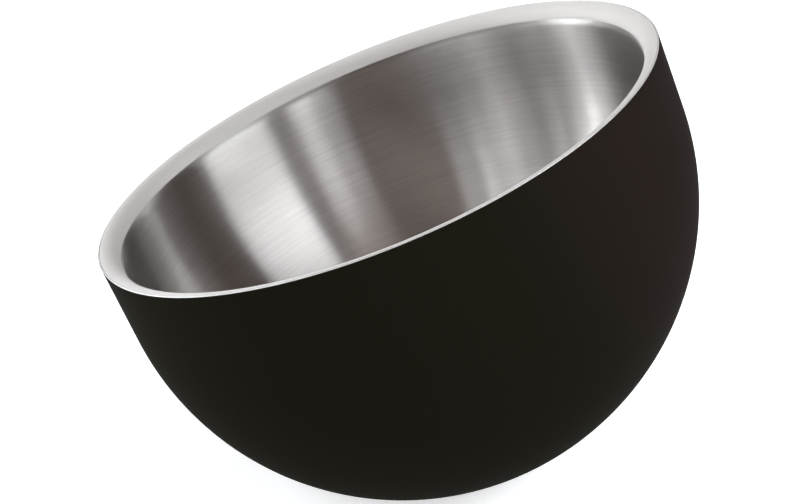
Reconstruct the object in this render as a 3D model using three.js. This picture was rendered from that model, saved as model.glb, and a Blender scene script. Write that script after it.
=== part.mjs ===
// Double-walled serving bowl that stands at a slant. A brushed steel liner with a rolled rim is welded
// along its edge to a coated outer shell, and the shell's pressed base lies off the bowl's own axis.
// Millimetres, +Z up. The origin is the centre of the base pad's underside, on the table.

import * as THREE from 'three';

const degrees = THREE.MathUtils.degToRad;

// Driving dimensions of the bowl
const rimRadius = 100; // outer edge of the rim
const collarHeight = 25.4; // rim plane above the centre of the round body, along the bowl's axis
const collarDraft = degrees(1.5); // how far the straight collar opens towards the rim
const bowlLean = degrees(21.7); // the bowl's axis from the vertical, towards -X

// Driving dimensions of the walls
const shellSheet = 0.8; // outer shell's sheet
const linerSheet = 0.8; // liner's sheet
const rimRoll = 5.7; // radius of the liner's rolled rim
const rimLand = 0.2; // flat strip between the roll and the liner's edge
const seamWidth = 0.5; // weld seam round the liner's edge
const seamRound = 0.25; // rounding of the seam's outer corner
const baseAir = 1; // room between the vent plug and the liner

// Driving dimensions of the base
const baseFlatRadius = 36; // flat of the pressed base
const baseBend = 6; // bend from the flat into the round body
const padRadius = 31; // non-slip base pad
const padProud = 0.8; // how far the pad stands below the flat
const padSeatDepth = 1.2; // pressed seat that holds the pad
const padChamfer = 0.4; // pad's lower edge
const ventRadius = 2.5; // vent hole under the pad
const plugBarbWidth = 0.8; // barb past the vent hole's edge
const plugBarbHeight = 1.2; // barb above the sheet

// Clearance between neighbouring pieces
const fitGap = 0.3;

// Facets
const aroundSteps = 64;
const bodySteps = 11;
const bendSteps = 3;
const rollSteps = 5;
const roundSteps = 3;
const plugSteps = 24;

// Places worked out from the sizes
const draftTangent = Math.tan(collarDraft);
const bodyRadius = (rimRadius - collarHeight * draftTangent) * Math.cos(collarDraft);
const bendDrop = Math.sqrt((bodyRadius - baseBend) ** 2 - baseFlatRadius ** 2);
const bendAngle = Math.atan2(baseFlatRadius, bendDrop);
const bodyCentre = padProud + baseBend + bendDrop;
const seatRadius = padRadius + fitGap;
const seatFloor = padProud + padSeatDepth;
const plugShoulder = seatFloor + shellSheet + fitGap;
const plugTop = plugShoulder + plugBarbHeight;
const linerEdge = rimRadius - seamWidth - fitGap;
const rollCentre = new THREE.Vector2(linerEdge - rimLand, collarHeight - rimRoll);
const linerAtCentre = rollCentre.x * Math.cos(collarDraft) - rollCentre.y * Math.sin(collarDraft) - rimRoll;
const linerLift = (plugTop + baseAir - bodyCentre + linerAtCentre + linerSheet)
  / (Math.cos(bowlLean) - Math.sin(collarDraft));
const linerRadius = linerAtCentre + linerLift * Math.sin(collarDraft);
const linerCentre = new THREE.Vector2(0, linerLift);

// Points of an arc in a lathe profile, both ends included
function arc(centre, radius, fromAngle, toAngle, steps) {
  const points = [];
  for (let step = 0; step <= steps; step += 1) {
    const angle = THREE.MathUtils.lerp(fromAngle, toAngle, step / steps);
    points.push(new THREE.Vector2(Math.cos(angle), Math.sin(angle)).multiplyScalar(radius).add(centre));
  }
  return points;
}

// Solid turned from a profile of radius and height, with its axis along +Z
function turned(profile, steps) {
  return new THREE.LatheGeometry(profile, steps).rotateX(Math.PI / 2);
}

// Ring of points about an axis through the body's centre that leans by the given angle towards -X
function ring(lean, along, radius) {
  const turn = new THREE.Matrix4().makeRotationY(-lean).setPosition(0, 0, bodyCentre);
  const points = [];
  for (let step = 0; step < aroundSteps; step += 1) {
    const angle = (2 * Math.PI * step) / aroundSteps;
    points.push(new THREE.Vector3(radius * Math.cos(angle), radius * Math.sin(angle), along).applyMatrix4(turn));
  }
  return points;
}

// Closed skin through a loop of rings, each joined to the next and the last to the first
function skinned(rings) {
  const indices = [];
  for (let row = 0; row < rings.length; row += 1) {
    const low = row * aroundSteps;
    const high = ((row + 1) % rings.length) * aroundSteps;
    for (let step = 0; step < aroundSteps; step += 1) {
      const next = (step + 1) % aroundSteps;
      indices.push(low + step, low + next, high + next);
      indices.push(low + step, high + next, high + step);
    }
  }
  const geometry = new THREE.BufferGeometry().setFromPoints(rings.flat());
  geometry.setIndex(indices);
  geometry.computeVertexNormals();
  return geometry;
}

// One face of the outer shell from the vent hole to the rim, set in from the outside by inset.
// The base's rings lie level, and each ring of the round body leans a little more than the one below.
function shellFace(inset) {
  const level = (height, radius) => ring(0, height - bodyCentre, radius);
  const rings = [
    level(seatFloor + inset, ventRadius),
    level(seatFloor + inset, seatRadius + inset),
    level(padProud + inset, seatRadius + inset),
  ];
  for (let step = 0; step < bendSteps; step += 1) {
    const angle = (bendAngle * step) / bendSteps;
    const bendRadius = baseBend - inset;
    const height = padProud + baseBend - bendRadius * Math.cos(angle);
    rings.push(level(height, baseFlatRadius + bendRadius * Math.sin(angle)));
  }
  for (let step = 0; step <= bodySteps; step += 1) {
    const angle = THREE.MathUtils.lerp(bendAngle, Math.PI / 2 - collarDraft, step / bodySteps);
    const radius = bodyRadius - inset;
    rings.push(ring((bowlLean * step) / bodySteps, -radius * Math.cos(angle), radius * Math.sin(angle)));
  }
  const top = collarHeight - linerSheet - fitGap;
  const topRadius = rimRadius - (collarHeight - top) * draftTangent - inset / Math.cos(collarDraft);
  rings.push(ring(bowlLean, top, topRadius));
  return rings;
}

function outerShell() {
  return skinned([...shellFace(0), ...shellFace(shellSheet).reverse()]);
}

// One face of the liner from its lowest point to the edge of its rim, set out from the inside by offset
function linerFace(offset) {
  return [
    ...arc(linerCentre, linerRadius + offset, -Math.PI / 2, -collarDraft, bodySteps),
    ...arc(rollCentre, rimRoll - offset, Math.PI - collarDraft, Math.PI / 2, rollSteps),
    new THREE.Vector2(linerEdge, collarHeight - offset),
  ];
}

function innerBowl() {
  return turned([...linerFace(linerSheet), ...linerFace(0).reverse()], aroundSteps);
}

function rimWeldSeam() {
  const inside = rimRadius - seamWidth;
  const underside = collarHeight - linerSheet;
  const corner = new THREE.Vector2(rimRadius - seamRound, collarHeight - seamRound);
  const profile = [
    new THREE.Vector2(inside, underside),
    new THREE.Vector2(rimRadius, underside),
    ...arc(corner, seamRound, 0, Math.PI / 2, roundSteps),
    new THREE.Vector2(inside, collarHeight),
    new THREE.Vector2(inside, underside),
  ];
  return turned(profile, aroundSteps);
}

function basePad() {
  const top = seatFloor - fitGap;
  const profile = [
    new THREE.Vector2(0, 0),
    new THREE.Vector2(padRadius - padChamfer, 0),
    new THREE.Vector2(padRadius, padChamfer),
    new THREE.Vector2(padRadius, top),
    new THREE.Vector2(0, top),
  ];
  return turned(profile, aroundSteps);
}

function ventPlug() {
  const stemRadius = ventRadius - fitGap;
  const profile = [
    new THREE.Vector2(0, seatFloor),
    new THREE.Vector2(stemRadius, seatFloor),
    new THREE.Vector2(stemRadius, plugShoulder),
    new THREE.Vector2(ventRadius + plugBarbWidth, plugShoulder),
    new THREE.Vector2(stemRadius, plugTop),
    new THREE.Vector2(0, plugTop),
  ];
  return turned(profile, plugSteps);
}

// Finishes
const brushedSteel = new THREE.MeshStandardMaterial({ color: 0xb9b6b1, metalness: 1, roughness: 0.32 });
const weldedSteel = new THREE.MeshStandardMaterial({ color: 0xd2cfca, metalness: 1, roughness: 0.22 });
const blackCoat = new THREE.MeshStandardMaterial({ color: 0x1d1a16, metalness: 0, roughness: 0.6 });
const blackRubber = new THREE.MeshStandardMaterial({ color: 0x151515, metalness: 0, roughness: 0.85 });
const plugRubber = new THREE.MeshStandardMaterial({ color: 0x2a2a2a, metalness: 0, roughness: 0.8 });

function piece(name, geometry, material) {
  const mesh = new THREE.Mesh(geometry, material);
  mesh.name = name;
  return mesh;
}

// The liner and the seam stand on the bowl's own axis, which leans. The base stands level.
const leaning = new THREE.Group();
leaning.position.z = bodyCentre;
leaning.rotation.y = -bowlLean;
leaning.add(piece('inner_bowl', innerBowl(), brushedSteel));
leaning.add(piece('rim_weld_seam', rimWeldSeam(), weldedSteel));

const bowl = new THREE.Group();
bowl.add(leaning);
bowl.add(piece('outer_shell', outerShell(), blackCoat));
bowl.add(piece('base_pad', basePad(), blackRubber));
bowl.add(piece('vent_plug', ventPlug(), plugRubber));

export default bowl;
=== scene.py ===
import bpy
import math
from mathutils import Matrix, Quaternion, Vector


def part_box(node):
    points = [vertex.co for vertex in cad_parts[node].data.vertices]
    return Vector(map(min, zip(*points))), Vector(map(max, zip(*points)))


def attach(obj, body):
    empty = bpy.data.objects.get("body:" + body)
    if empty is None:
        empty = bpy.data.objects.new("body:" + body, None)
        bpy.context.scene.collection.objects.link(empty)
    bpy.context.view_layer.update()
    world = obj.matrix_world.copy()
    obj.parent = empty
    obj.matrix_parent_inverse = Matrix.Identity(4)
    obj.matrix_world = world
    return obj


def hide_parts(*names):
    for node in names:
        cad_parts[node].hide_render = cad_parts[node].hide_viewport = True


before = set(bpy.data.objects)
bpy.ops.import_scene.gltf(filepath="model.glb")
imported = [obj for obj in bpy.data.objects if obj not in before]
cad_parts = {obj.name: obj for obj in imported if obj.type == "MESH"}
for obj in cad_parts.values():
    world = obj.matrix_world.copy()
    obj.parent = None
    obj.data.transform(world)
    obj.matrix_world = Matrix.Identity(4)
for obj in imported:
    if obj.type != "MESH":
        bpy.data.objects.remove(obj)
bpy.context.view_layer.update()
mm = 0.001
print("frame loaded:", ", ".join(sorted(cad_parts)))

# the shape that both walls share
bowl = {
    "rimRadius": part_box("rim_weld_seam")[1].y,  # outer edge of the rim
    "collarHeight": 25.4 * mm,  # rim plane above the centre of the round body
    "collarDraft": math.radians(1.5),  # the straight collar opens towards the rim
    "lean": math.radians(21.7),  # the bowl's axis from the vertical, towards -X
    "stepsAround": 288,
    "weldDistance": 0.001 * mm,  # closes each turned mesh where it meets itself
    "sharpAngle": math.radians(40),  # edges that bend more than this stay sharp
}
base = {
    "flatRadius": 36 * mm,
    "bend": 6 * mm,  # from the flat into the round body
    "landHeight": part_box("outer_shell")[0].z,  # the flat above the table
    "seatFloor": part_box("vent_plug")[0].z,
    "plugTop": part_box("vent_plug")[1].z,
    "ventRadius": 2.5 * mm,
    "padRadius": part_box("base_pad")[1].x,
    "padTop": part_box("base_pad")[1].z,
    "seatGap": 0.3 * mm,  # round the pad
}
draft, lean = bowl["collarDraft"], bowl["lean"]
bodyRadius = (bowl["rimRadius"] - bowl["collarHeight"] * math.tan(draft)) * math.cos(draft)
bendDrop = math.sqrt((bodyRadius - base["bend"]) ** 2 - base["flatRadius"] ** 2)
bendAngle = math.atan2(base["flatRadius"], bendDrop)
bodyCentre = base["landHeight"] + base["bend"] + bendDrop  # height of the round body's centre


def between(low, high, share):
    return low + (high - low) * share


# points (radius, along) of an arc in a profile, both ends included
def arcPoints(centre, radius, fromAngle, toAngle, steps):
    points = []
    for step in range(steps + 1):
        angle = between(fromAngle, toAngle, step / steps)
        points.append((centre[0] + radius * math.cos(angle), centre[1] + radius * math.sin(angle)))
    return points


# points of a straight stretch, without its two ends
def linePoints(start, end, steps):
    shares = [step / steps for step in range(1, steps)]
    return [(between(start[0], end[0], share), between(start[1], end[1], share)) for share in shares]


# profile rows (lean, along, radius) that all turn about one axis
def rowsAbout(axisLean, points):
    return [(axisLean, along, max(radius, 0.0)) for radius, along in points]


# how far each row lies along its profile
def runLengths(rows):
    runs = [0.0]
    for last, row in zip(rows, rows[1:]):
        runs.append(runs[-1] + math.dist(last[1:], row[1:]))
    return runs


# a mesh of loose points, one for each profile row, that the turning tree reads
def profileObject(name, rows):
    mesh = bpy.data.meshes.new(name)
    mesh.from_pydata([(radius, 0.0, along) for rowLean, along, radius in rows], [], [])
    mesh.attributes.new("lean", "FLOAT", "POINT").data.foreach_set("value", [row[0] for row in rows])
    mesh.attributes.new("run", "FLOAT", "POINT").data.foreach_set("value", runLengths(rows))
    piece = bpy.data.objects.new(name, mesh)
    bpy.context.scene.collection.objects.link(piece)
    return piece


# adds nodes to a tree, each with its settings and inputs in one go
class TreeMaker:
    def __init__(self, tree):
        self.tree = tree

    def add(self, kind, settings=None, inputs=None):
        node = self.tree.nodes.new(kind)
        for name, value in (settings or {}).items():
            setattr(node, name, value)
        for name, value in (inputs or {}).items():
            self.feed(node.inputs[name], value)
        return node

    def feed(self, socket, value):
        if isinstance(value, bpy.types.NodeSocket):
            self.tree.links.new(value, socket)
        else:
            socket.default_value = value

    def math(self, operation, *values):
        return self.add("ShaderNodeMath", {"operation": operation}, dict(enumerate(values))).outputs[0]

    def vectorMath(self, operation, *values):
        return self.add("ShaderNodeVectorMath", {"operation": operation}, dict(enumerate(values))).outputs

    def combine(self, x=0.0, y=0.0, z=0.0):
        return self.add("ShaderNodeCombineXYZ", None, {"X": x, "Y": y, "Z": z}).outputs[0]

    def separate(self, vector):
        return self.add("ShaderNodeSeparateXYZ", None, {0: vector}).outputs

    # a value from low to high as the given one crosses its span
    def spread(self, value, low, high, span=(0.0, 1.0), soft=False):
        node = self.add("ShaderNodeMapRange", {"interpolation_type": "SMOOTHSTEP" if soft else "LINEAR"}, {
            "Value": value, "From Min": span[0], "From Max": span[1], "To Min": low, "To Max": high})
        return node.outputs[0]

    # a value from low to high as share goes from 0 to 1
    def blend(self, share, low, high):
        return self.add("ShaderNodeMix", None, {0: share, 2: low, 3: high}).outputs[0]

    # a colour from low to high as share goes from 0 to 1
    def tint(self, share, low, high):
        low, high = [end if isinstance(end, bpy.types.NodeSocket) else (*end, 1) for end in (low, high)]
        return self.add("ShaderNodeMix", {"data_type": "RGBA"}, {0: share, 6: low, 7: high}).outputs[2]

    def noise(self, vector, scale, detail, roughness=0.5):
        return self.add("ShaderNodeTexNoise", None, {
            "Vector": vector, "Scale": scale, "Detail": detail, "Roughness": roughness}).outputs[0]

    def bump(self, height, depth):
        return self.add("ShaderNodeBump", None, {
            "Strength": 1.0, "Distance": depth, "Height": height}).outputs[0]


# a wall turned from profile rows: every row becomes a ring about its own leaning axis
def turningTree():
    tree = bpy.data.node_groups.new("turnedWall", "GeometryNodeTree")
    sockets = [("Profile", "Geometry"), ("Steps around", "Int"), ("Centre height", "Float"),
               ("Weld distance", "Float"), ("Sharp angle", "Float"), ("Finish", "Material"),
               ("Rim finish", "Material"), ("Rim from", "Float"), ("Rim to", "Float")]
    for name, kind in sockets:
        tree.interface.new_socket(name, in_out="INPUT", socket_type="NodeSocket" + kind)
    tree.interface.new_socket("Wall", in_out="OUTPUT", socket_type="NodeSocketGeometry")
    make = TreeMaker(tree)
    given = make.add("NodeGroupInput").outputs
    size = make.add("GeometryNodeAttributeDomainSize", None, {"Geometry": given["Profile"]})
    rowCount = size.outputs["Point Count"]
    columns = make.math("ADD", given["Steps around"], 1.0)
    gridSide = 1.0
    grid = make.add("GeometryNodeMeshGrid", None, {
        "Size X": gridSide, "Size Y": gridSide, "Vertices X": columns, "Vertices Y": rowCount})
    here = make.add("GeometryNodeInputPosition").outputs[0]
    place = make.separate(here)
    around = make.math("ADD", place["X"], gridSide / 2)  # 0 to 1 once round the bowl
    rowShare = make.math("ADD", place["Y"], gridSide / 2)  # 0 to 1 along the profile
    lastRow = make.math("SUBTRACT", rowCount, 1.0)
    row = make.add("FunctionNodeFloatToInt", {"rounding_mode": "ROUND"}, {
        0: make.math("MULTIPLY", rowShare, lastRow)}).outputs[0]

    def rowValue(kind, field):
        return make.add("GeometryNodeSampleIndex", {"data_type": kind, "domain": "POINT"}, {
            "Geometry": given["Profile"], "Value": field, "Index": row}).outputs["Value"]

    def rowAttribute(name):
        field = make.add("GeometryNodeInputNamedAttribute", {"data_type": "FLOAT"}, {"Name": name})
        return rowValue("FLOAT", field.outputs["Attribute"])

    radiusAlong = make.separate(rowValue("FLOAT_VECTOR", here))
    rowLean = rowAttribute("lean")
    run = rowAttribute("run")
    turn = make.math("MULTIPLY", around, math.tau)
    flat = make.combine(make.math("MULTIPLY", radiusAlong["X"], make.math("COSINE", turn)),
                        make.math("MULTIPLY", radiusAlong["X"], make.math("SINE", turn)), radiusAlong["Z"])
    leant = make.add("ShaderNodeVectorRotate", {"rotation_type": "Y_AXIS"}, {
        "Vector": flat, "Angle": make.math("MULTIPLY", rowLean, -1.0)}).outputs[0]
    placed = make.vectorMath("ADD", leant, make.combine(z=given["Centre height"]))["Vector"]
    mapped = make.add("GeometryNodeStoreNamedAttribute", {"data_type": "FLOAT2", "domain": "CORNER"}, {
        "Geometry": grid.outputs["Mesh"], "Name": "brush", "Value": make.combine(run, around)})
    onRim = make.math("MULTIPLY", make.math("GREATER_THAN", run, given["Rim from"]),
                      make.math("LESS_THAN", run, given["Rim to"]))
    marked = make.add("GeometryNodeStoreNamedAttribute", {"data_type": "FLOAT", "domain": "FACE"}, {
        "Geometry": mapped.outputs[0], "Name": "onRim", "Value": onRim})
    shaped = make.add("GeometryNodeSetPosition", None, {
        "Geometry": marked.outputs[0], "Position": placed})
    welded = make.add("GeometryNodeMergeByDistance", None, {
        "Geometry": shaped.outputs[0], "Distance": given["Weld distance"]})
    smooth = make.add("GeometryNodeSetShadeSmooth", {"domain": "FACE"}, {
        "Geometry": welded.outputs[0], "Shade Smooth": True})
    bent = make.add("GeometryNodeInputMeshEdgeAngle").outputs["Unsigned Angle"]
    soft = make.add("FunctionNodeCompare", {"data_type": "FLOAT", "operation": "LESS_THAN"}, {
        "A": bent, "B": given["Sharp angle"]}).outputs[0]
    edged = make.add("GeometryNodeSetShadeSmooth", {"domain": "EDGE"}, {
        "Geometry": smooth.outputs[0], "Shade Smooth": soft})
    realized = make.add("GeometryNodeRealizeInstances", None, {"Geometry": edged.outputs[0]})
    walled = make.add("GeometryNodeSetMaterial", None, {
        "Geometry": realized.outputs[0], "Material": given["Finish"]})
    rimMark = make.add("GeometryNodeInputNamedAttribute", {"data_type": "FLOAT"}, {"Name": "onRim"})
    rimFaces = make.math("GREATER_THAN", rimMark.outputs["Attribute"], 0.5)  # the mark is 0 or 1
    finished = make.add("GeometryNodeSetMaterial", None, {
        "Geometry": walled.outputs[0], "Material": given["Rim finish"], "Selection": rimFaces})
    make.add("NodeGroupOutput", None, {"Wall": finished.outputs[0]})
    return tree


turnedWall = turningTree()


# turns the rows into a plain mesh in place, with the tree's inputs set before it first runs
def turnedPiece(name, rows, finish, rimFinish=None, rimRun=(0.0, 0.0)):
    piece = profileObject(name, rows)
    modifier = piece.modifiers.new("turn", "NODES")
    modifier.node_group = turnedWall
    values = {
        "Steps around": bowl["stepsAround"], "Centre height": bodyCentre,
        "Weld distance": bowl["weldDistance"], "Sharp angle": bowl["sharpAngle"], "Finish": finish,
        "Rim finish": rimFinish or finish, "Rim from": rimRun[0], "Rim to": rimRun[1],
    }
    for socket in turnedWall.interface.items_tree:
        if socket.in_out == "INPUT" and socket.name in values:
            modifier[socket.identifier] = values[socket.name]
    graph = bpy.context.evaluated_depsgraph_get()
    mesh = bpy.data.meshes.new_from_object(piece.evaluated_get(graph))
    piece.modifiers.remove(modifier)
    rough, piece.data = piece.data, mesh
    bpy.data.meshes.remove(rough)
    mesh.name = name
    for slot in reversed(range(len(mesh.materials))):
        if mesh.materials[slot] is None:  # the grid's own empty slot
            mesh.materials.pop(index=slot)
    print(name, len(mesh.vertices), "points,", len(mesh.polygons), "faces,",
          ", ".join(material.name for material in mesh.materials))
    return piece


# a named material with one Principled shader whose even values are set on its own sockets
def newFinish(name, evenValues):
    material = bpy.data.materials.new(name)
    material.use_nodes = True
    make = TreeMaker(material.node_tree)
    shader = material.node_tree.nodes["Principled BSDF"].inputs
    for socket, value in evenValues.items():
        shader[socket].default_value = value
    return material, make, shader


# what all the brushed steel shares
brush = {
    "lineDetail": 1.5, "lineRoughness": 0.62,
    "lineSpan": (0.3, 0.7),  # the part of the noise that goes from dark lines to light ones
    "smudgeDetail": 3.0,
}


# steel with brush lines that run round the bowl, long around it and fine along its wall
def brushedSteel(name, look, fadeRun=None):
    material, make, shader = newFinish(name, {"Metallic": 1.0, "Anisotropic": look["stretch"]})
    place = make.add("ShaderNodeTexCoord").outputs["Object"]
    length = 1 / look["lineLength"]
    around = make.add("ShaderNodeMapping", None, {
        "Vector": place, "Scale": (length, length, 0)}).outputs[0]
    brushMap = make.add("ShaderNodeUVMap", {"uv_map": "brush"}).outputs[0]
    run = make.separate(brushMap)["X"]
    rows = make.combine(z=make.math("DIVIDE", run, look["lineSpacing"]))
    linePoint = make.vectorMath("ADD", around, rows)["Vector"]
    lineNoise = make.noise(linePoint, 1.0, brush["lineDetail"], brush["lineRoughness"])
    lines = make.spread(lineNoise, 0.0, 1.0, brush["lineSpan"])
    handling = make.noise(place, look["smudgeScale"], brush["smudgeDetail"])  # slow, uneven sheen
    smudges = make.spread(handling, -look["smudge"], look["smudge"])
    roughness = make.math("ADD", make.spread(lines, *look["roughness"]), smudges)
    colour = make.tint(lines, look["shade"], look["light"])
    if fadeRun:  # this finish comes out of the rim's over a short stretch
        fade = make.spread(run, 0.0, 1.0, fadeRun, soft=True)
        roughness = make.blend(fade, look["fadeRoughness"], roughness)
        colour = make.tint(fade, look["fadeColour"], colour)
    make.feed(shader["Roughness"], roughness)
    make.feed(shader["Base Color"], colour)

    # scratches far too fine to see tilt the surface, which draws the shine out up the wall
    upWall = make.add("ShaderNodeTangent", {"direction_type": "UV_MAP", "uv_map": "brush"}).outputs[0]
    make.feed(shader["Tangent"], upWall)
    scratches = make.add("ShaderNodeTexWhiteNoise", None, {"Vector": place}).outputs["Value"]
    slope = make.spread(scratches, -look["scratchSlope"], look["scratchSlope"])
    normal = make.add("ShaderNodeNewGeometry").outputs["Normal"]
    tilted = make.vectorMath("MULTIPLY_ADD", upWall, slope, normal)["Vector"]
    make.feed(shader["Normal"], make.vectorMath("NORMALIZE", tilted)["Vector"])
    return material


# the rim, seen in section: the liner's land, a fine groove, the weld seam, then the coat's edge
rim = {
    "roll": 5.7 * mm,  # radius of the liner's rolled rim
    "land": 0.2 * mm,
    "seamWidth": 0.5 * mm,
    "seamHeight": 0.4 * mm,
    "groove": 0.1 * mm,  # between the land and the seam
    "weldGap": 0.3 * mm,  # the solids' own gap at the seam
    "edgeRound": 0.1 * mm,
    "roundSteps": 4,
    "coatFilm": 0.1 * mm,  # the coat runs up the outside of the seam
    "coatDrop": 0.15 * mm,  # and ends this far below the rim plane
    "coatGap": 0.02 * mm,  # between the coat and the seam
    "satinShare": 0.9,  # how far down the roll the rim's even satin finish goes
}
seamInside = bowl["rimRadius"] - rim["seamWidth"]
rollCentre = (seamInside - rim["weldGap"] - rim["land"], bowl["collarHeight"] - rim["roll"])

liner = {
    "sheet": 0.8 * mm,
    "air": 1 * mm,  # between the vent plug and the liner
    "bodySteps": 72, "rollSteps": 20, "wallSteps": 4,
    "hiddenBodySteps": 24, "hiddenRollSteps": 6,  # the face inside the double wall
}
linerLook = {
    "shade": (0.385, 0.363, 0.348), "light": (0.435, 0.41, 0.393),
    "roughness": (0.288, 0.3), "stretch": 1.0, "scratchSlope": 0.14,
    "lineSpacing": 0.9 * mm, "lineLength": 32 * mm, "smudgeScale": 18.0, "smudge": 0.012,
    "fadeLength": 2.4 * mm, "fadeRoughness": 0.55, "fadeColour": (0.47, 0.447, 0.428),
}
rimLook = {
    "shade": (0.63, 0.609, 0.594), "light": (0.676, 0.654, 0.637),
    "roughness": (0.8, 0.88), "stretch": 0.25, "scratchSlope": 0.1,
    "lineSpacing": 0.5 * mm, "lineLength": 25 * mm, "smudgeScale": 25.0, "smudge": 0.03,
}
linerAtCentre = rollCentre[0] * math.cos(draft) - rollCentre[1] * math.sin(draft) - rim["roll"]
linerLift = (base["plugTop"] + liner["air"] - bodyCentre + linerAtCentre + liner["sheet"]) \
    / (math.cos(lean) - math.sin(draft))
linerRadius = linerAtCentre + linerLift * math.sin(draft)


# one face of the liner from its lowest point to the start of its land
def linerFace(offset, bodySteps, rollSteps):
    body = arcPoints((0, linerLift), linerRadius + offset, -math.pi / 2, -draft, bodySteps)
    roll = arcPoints(rollCentre, rim["roll"] - offset, math.pi - draft, math.pi / 2, rollSteps)
    return body + linePoints(body[-1], roll[0], liner["wallSteps"]) + roll


def makeLiner():
    edge = seamInside - rim["groove"]
    top, small = bowl["collarHeight"], rim["edgeRound"]
    hidden = linerFace(liner["sheet"], liner["hiddenBodySteps"], liner["hiddenRollSteps"])
    lip = [(edge, top - liner["sheet"])]
    lip += arcPoints((edge - small, top - small), small, 0, math.pi / 2, rim["roundSteps"])
    shown = linerFace(0, liner["bodySteps"], liner["rollSteps"])[::-1]
    rows = rowsAbout(lean, hidden + lip + shown)
    runs = runLengths(rows)
    rollEnd = len(hidden) + len(lip) + round(liner["rollSteps"] * rim["satinShare"])
    rimRun = (runs[len(hidden)] - small, runs[rollEnd])
    fadeRun = (rimRun[1], rimRun[1] + linerLook["fadeLength"])
    wallSteel = brushedSteel("brushedSteel", linerLook, fadeRun)
    rimSteel = brushedSteel("rimSteel", rimLook)
    piece = turnedPiece("brushed_liner", rows, wallSteel, rimSteel, rimRun)
    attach(piece, "root")
    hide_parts("inner_bowl")


makeLiner()

seamLook = {
    "shade": (0.66, 0.64, 0.62), "light": (0.78, 0.765, 0.75),
    "roughness": (0.36, 0.46), "stretch": 0.0, "scratchSlope": 0.05,
    "lineSpacing": 0.3 * mm, "lineLength": 2 * mm, "smudgeScale": 60.0, "smudge": 0.03,
}


def makeSeam():
    top, outside = bowl["collarHeight"], bowl["rimRadius"] - rim["coatFilm"] - rim["coatGap"]
    low, small, steps = top - rim["seamHeight"], rim["edgeRound"], rim["roundSteps"]
    loop = [(seamInside, low), (outside, low)]
    loop += arcPoints((outside - small, top - small), small, 0, math.pi / 2, steps)
    loop += arcPoints((seamInside + small, top - small), small, math.pi / 2, math.pi, steps)
    rows = rowsAbout(lean, loop + loop[:1])
    piece = turnedPiece("weld_seam", rows, brushedSteel("seamSteel", seamLook))
    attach(piece, "root")
    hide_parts("rim_weld_seam")


makeSeam()

shell = {"sheet": 0.8 * mm, "bodySteps": 72, "bendSteps": 10, "collarSteps": 6}
coatLook = {
    # shade is the coat's dark colour; light is that colour painted lighter and browner, as if lit from the
    # high side
    "shade": (0.008, 0.0072, 0.0042), "light": (0.0146, 0.0101, 0.0085),
    "paintedLightTowards": (1.0, 0.0, 0.5),  # painted light: the coat is painted lighter and browner towards the high side of the rim, where the light falls
    "paintedLightSpan": (81 * mm, 141 * mm),
    "patchScale": 14.0, "patchDetail": 3.0, "patch": 0.08,
    "roughness": (0.82, 0.92), "specular": 0.02,
    "grain": 0.5 * mm, "grainDetail": 3.0, "grainRoughness": 0.6, "grainDepth": 0.012 * mm,
}


# matt baked coat: a fine grain over a faint random change of tone, with painted light that makes it
# lighter and browner towards the lit high side
def blackCoat():
    material, make, shader = newFinish("blackCoat", {"Specular IOR Level": coatLook["specular"]})
    place = make.add("ShaderNodeTexCoord").outputs["Object"]
    # painted light: the colour moves to the lighter, browner end towards the high side of the rim, where
    # the light falls
    towards = make.vectorMath("DOT_PRODUCT", place, coatLook["paintedLightTowards"])["Value"]
    paintedLight = make.spread(towards, 0.0, 1.0, coatLook["paintedLightSpan"], soft=True)
    patchNoise = make.noise(place, coatLook["patchScale"], coatLook["patchDetail"])
    patches = make.spread(patchNoise, -coatLook["patch"], coatLook["patch"])
    tone = make.math("ADD", paintedLight, patches)
    make.feed(shader["Base Color"], make.tint(tone, coatLook["shade"], coatLook["light"]))
    grain = make.noise(place, 1 / coatLook["grain"], coatLook["grainDetail"], coatLook["grainRoughness"])
    make.feed(shader["Roughness"], make.spread(grain, *coatLook["roughness"]))
    make.feed(shader["Normal"], make.bump(grain, coatLook["grainDepth"]))
    return material


# one face of the shell from the vent hole to the start of the collar
def shellFace(inset):
    seat = base["padRadius"] + base["seatGap"] + inset

    def level(height, radius):
        return (0.0, height - bodyCentre, radius)

    rows = [level(base["seatFloor"] + inset, base["ventRadius"]), level(base["seatFloor"] + inset, seat),
            level(base["landHeight"] + inset, seat)]
    for step in range(shell["bendSteps"]):
        angle = bendAngle * step / shell["bendSteps"]
        bendRadius = base["bend"] - inset
        height = base["landHeight"] + base["bend"] - bendRadius * math.cos(angle)
        rows.append(level(height, base["flatRadius"] + bendRadius * math.sin(angle)))
    for step in range(shell["bodySteps"] + 1):
        share = step / shell["bodySteps"]
        angle = between(bendAngle, math.pi / 2 - draft, share)
        radius = bodyRadius - inset
        rows.append((lean * share, -radius * math.cos(angle), radius * math.sin(angle)))
    return rows


def makeShell():
    top = bowl["collarHeight"] - rim["coatDrop"]
    shelf = bowl["collarHeight"] - rim["seamHeight"] - rim["coatGap"]
    outside = bowl["rimRadius"] - rim["coatDrop"] * math.tan(draft)
    film = bowl["rimRadius"] - rim["coatFilm"]
    inside = outside - shell["sheet"] / math.cos(draft)
    small = rim["coatFilm"] / 2
    outer, inner = shellFace(0), shellFace(shell["sheet"])
    lip = arcPoints((outside - small, top - small), small, 0, math.pi / 2, rim["roundSteps"])
    collar = linePoints((outer[-1][2], outer[-1][1]), lip[0], shell["collarSteps"])
    ledge = [(film, top), (film, shelf), (inside, shelf)]
    loop = outer + rowsAbout(lean, collar + lip + ledge) + inner[::-1]
    piece = turnedPiece("coated_shell", loop + loop[:1], blackCoat())
    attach(piece, "root")
    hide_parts("outer_shell")


makeShell()

pad = {"edgeRound": 0.5 * mm, "roundSteps": 5, "lighter": 1.0}
plug = {"lighter": 2.0}
rubberLook = {
    "shade": (0.014, 0.014, 0.014), "light": (0.028, 0.027, 0.026),
    "roughness": (0.75, 0.92), "specular": 0.3,
    "grain": 0.7 * mm, "grainDetail": 4.0, "grainRoughness": 0.65, "grainDepth": 0.03 * mm,
}


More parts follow.
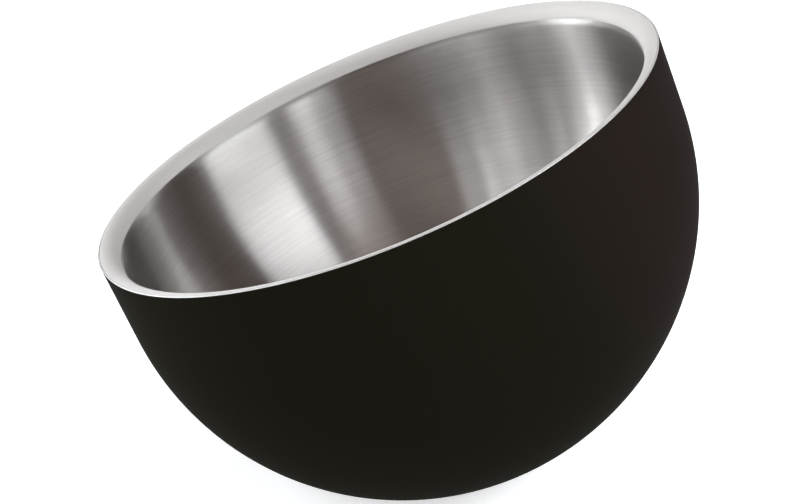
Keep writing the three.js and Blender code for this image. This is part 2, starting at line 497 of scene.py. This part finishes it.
def grainedRubber(name, lighter):
    material, make, shader = newFinish(name, {"Specular IOR Level": rubberLook["specular"]})
    place = make.add("ShaderNodeTexCoord").outputs["Object"]
    detail, roughness = rubberLook["grainDetail"], rubberLook["grainRoughness"]
    grain = make.noise(place, 1 / rubberLook["grain"], detail, roughness)
    shade, light = [[channel * lighter for channel in rubberLook[key]] for key in ("shade", "light")]
    make.feed(shader["Base Color"], make.tint(grain, shade, light))
    make.feed(shader["Roughness"], make.spread(grain, *rubberLook["roughness"]))
    make.feed(shader["Normal"], make.bump(grain, rubberLook["grainDepth"]))
    return material


def makePad():
    small, outside = pad["edgeRound"], base["padRadius"]
    low, top = -bodyCentre, base["padTop"] - bodyCentre
    side = arcPoints((outside - small, low + small), small, -math.pi / 2, 0, pad["roundSteps"])
    rows = rowsAbout(0.0, [(0, low)] + side + [(outside, top), (0, top)])
    piece = turnedPiece("rubber_pad", rows, grainedRubber("padRubber", pad["lighter"]))
    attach(piece, "root")
    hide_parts("base_pad")


makePad()

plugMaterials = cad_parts["vent_plug"].data.materials  # the plug's solid stays as it is
plugMaterials.clear()
plugMaterials.append(grainedRubber("plugRubber", plug["lighter"]))
print("pieces made and finished")

# camera, aimed a little under the round body's centre
photo = {
    "elevation": math.radians(21.94), "distance": 794.4 * mm, "lens": 106.2, "sensor": 36.0,
    "aimDrop": 16.2 * mm, "aimLeft": 0.64 * mm,
}
scene = bpy.context.scene
centre = Vector((0, 0, bodyCentre))


def makeCamera():
    data = bpy.data.cameras.new("photoCamera")
    data.lens = photo["lens"]
    data.sensor_width = photo["sensor"]
    camera = bpy.data.objects.new("photoCamera", data)
    scene.collection.objects.link(camera)
    scene.camera = camera
    rise, reach = math.sin(photo["elevation"]), math.cos(photo["elevation"])
    camera.location = centre + Vector((0, -reach, rise)) * photo["distance"]
    aim = centre - Vector((0, rise, reach)) * photo["aimDrop"] - Vector((photo["aimLeft"], 0, 0))
    camera.rotation_euler = (aim - camera.location).to_track_quat("-Z", "Y").to_euler()


makeCamera()

# the studio, in metres
white = (1.0, 1.0, 1.0)
warm = (0.96, 0.88, 0.86)
studio = {
    "floorHalf": 4.0, "floorTone": 0.9, "floorRoughness": 0.9,
    "floorLift": 0.6,  # glow of the floor near the bowl, where its shadow shows
    "floorFade": (0.5, 1.5),  # the glow grows to full white between these distances
    "sweepTop": (math.radians(3.5), math.radians(5.5)),  # the white sweep ends between these heights
    "room": (0.036, 0.018, 0.012),  # dim room above it
    "lampReach": 1.6, "lampTone": (0.942, 1.0, 1.042),
}


# a white sweep round the horizon, also for the steel, and a dim room overhead
def makeWorld():
    world = bpy.data.worlds.new("studio")
    scene.world = world
    world.use_nodes = True
    make = TreeMaker(world.node_tree)
    heading = make.add("ShaderNodeTexCoord").outputs["Generated"]
    up = make.separate(heading)["Z"]
    share = make.spread(up, 0.0, 1.0, [math.sin(angle) for angle in studio["sweepTop"]], soft=True)
    background = world.node_tree.nodes["Background"].inputs
    make.feed(background["Color"], make.tint(share, white, studio["room"]))
    background["Strength"].default_value = 1.0


# a pale floor that glows only for the camera and in the steel, so it keeps the bowl's shadow
def makeFloor():
    half, tone = studio["floorHalf"], studio["floorTone"]
    corners = [(-half, -half, 0), (half, -half, 0), (half, half, 0), (-half, half, 0)]
    mesh = bpy.data.meshes.new("floor")
    mesh.from_pydata(corners, [], [(0, 1, 2, 3)])
    floor = bpy.data.objects.new("floor", mesh)
    scene.collection.objects.link(floor)
    material, make, shader = newFinish("paleFloor", {
        "Base Color": (tone, tone, tone, 1), "Roughness": studio["floorRoughness"],
        "Emission Color": (*white, 1)})
    path = make.add("ShaderNodeLightPath").outputs
    seen = make.math("MAXIMUM", path["Is Camera Ray"], path["Is Glossy Ray"])
    seen = make.math("MAXIMUM", seen, path["Is Transmission Ray"])
    place = make.add("ShaderNodeTexCoord").outputs["Object"]
    away = make.vectorMath("LENGTH", place)["Value"]
    lift = make.spread(away, studio["floorLift"], 1.0, studio["floorFade"], soft=True)
    make.feed(shader["Emission Strength"], make.math("MULTIPLY", seen, lift))
    mesh.materials.append(material)


makeWorld()
makeFloor()

# softboxes round the bowl: heading from +X, height above the table and tilt in degrees,
# width and height of the box in metres, and glow, its brightness
lamps = {
    "keyBox": {"heading": 333.5, "height": 37.5, "wide": 0.97, "tall": 0.68, "glow": 9.8},
    "frontStrip": {"heading": 297, "height": 22.3, "wide": 0.27, "tall": 0.54, "glow": 7.2, "tilt": 15},
    "frontSide": {"heading": 286.5, "height": 19.5, "wide": 0.28, "tall": 0.5, "glow": 3.6, "tilt": 15},
    "frontLow": {"heading": 266, "height": 15, "wide": 1.0, "tall": 0.28, "glow": 0.55, "tone": warm},
    "frontFill": {"heading": 256, "height": 29, "wide": 1.7, "tall": 1.0, "glow": 0.52, "tone": warm},
    "backLeftStrip": {"heading": 157, "height": 13.5, "wide": 0.95, "tall": 0.14, "glow": 27, "tilt": -48},
    "backLeftEdge": {"heading": 148.5, "height": 12, "wide": 0.95, "tall": 0.07, "glow": 24, "tilt": -48},
    "backLeftFill": {"heading": 165, "height": 14, "wide": 0.85, "tall": 0.22, "glow": 6.8, "tilt": -46},
    "lowLeftStrip": {"heading": 178.5, "height": 3, "wide": 0.62, "tall": 0.16, "glow": 4},
    "leftEdge": {"heading": 189, "height": 17, "wide": 0.66, "tall": 0.66, "glow": 2, "tilt": 38},
    "leftBox": {"heading": 213, "height": 18, "wide": 0.48, "tall": 1.1, "glow": 2.2, "tilt": 36},
    "leftFill": {"heading": 227, "height": 21, "wide": 0.42, "tall": 1.1, "glow": 1.25, "tilt": 36},
    "backRightStrip": {"heading": 53.5, "height": 38.5, "wide": 0.72, "tall": 0.2, "glow": 7, "tilt": 36},
    "backdrop": {"heading": 95, "height": 9, "wide": 1.2, "tall": 0.5, "glow": 1.6},
    "backCard": {"heading": 94, "height": 48, "wide": 1.5, "tall": 0.45, "glow": 2.1, "tone": warm},
    "topBox": {"heading": 272, "height": 66, "wide": 0.6, "tall": 0.6, "glow": 1.4, "tone": warm},
}


def makeLamp(name, lamp):
    data = bpy.data.lights.new(name, "AREA")
    data.shape = "RECTANGLE"
    data.size, data.size_y = lamp["wide"], lamp["tall"]
    data.color = lamp.get("tone", studio["lampTone"])
    data.energy = lamp["glow"] * math.pi * lamp["wide"] * lamp["tall"]
    light = bpy.data.objects.new(name, data)
    scene.collection.objects.link(light)
    heading, height = math.radians(lamp["heading"]), math.radians(lamp["height"])
    level = math.cos(height)
    toLamp = Vector((level * math.cos(heading), level * math.sin(heading), math.sin(height)))
    light.location = centre + toLamp * studio["lampReach"]
    tilt = Quaternion((0, 0, 1), math.radians(lamp.get("tilt", 0)))
    light.rotation_euler = (toLamp.to_track_quat("Z", "Y") @ tilt).to_euler()
    light.visible_camera = False


for name, lamp in lamps.items():
    makeLamp(name, lamp)

scene.view_settings.view_transform = "Standard"
print("studio set")
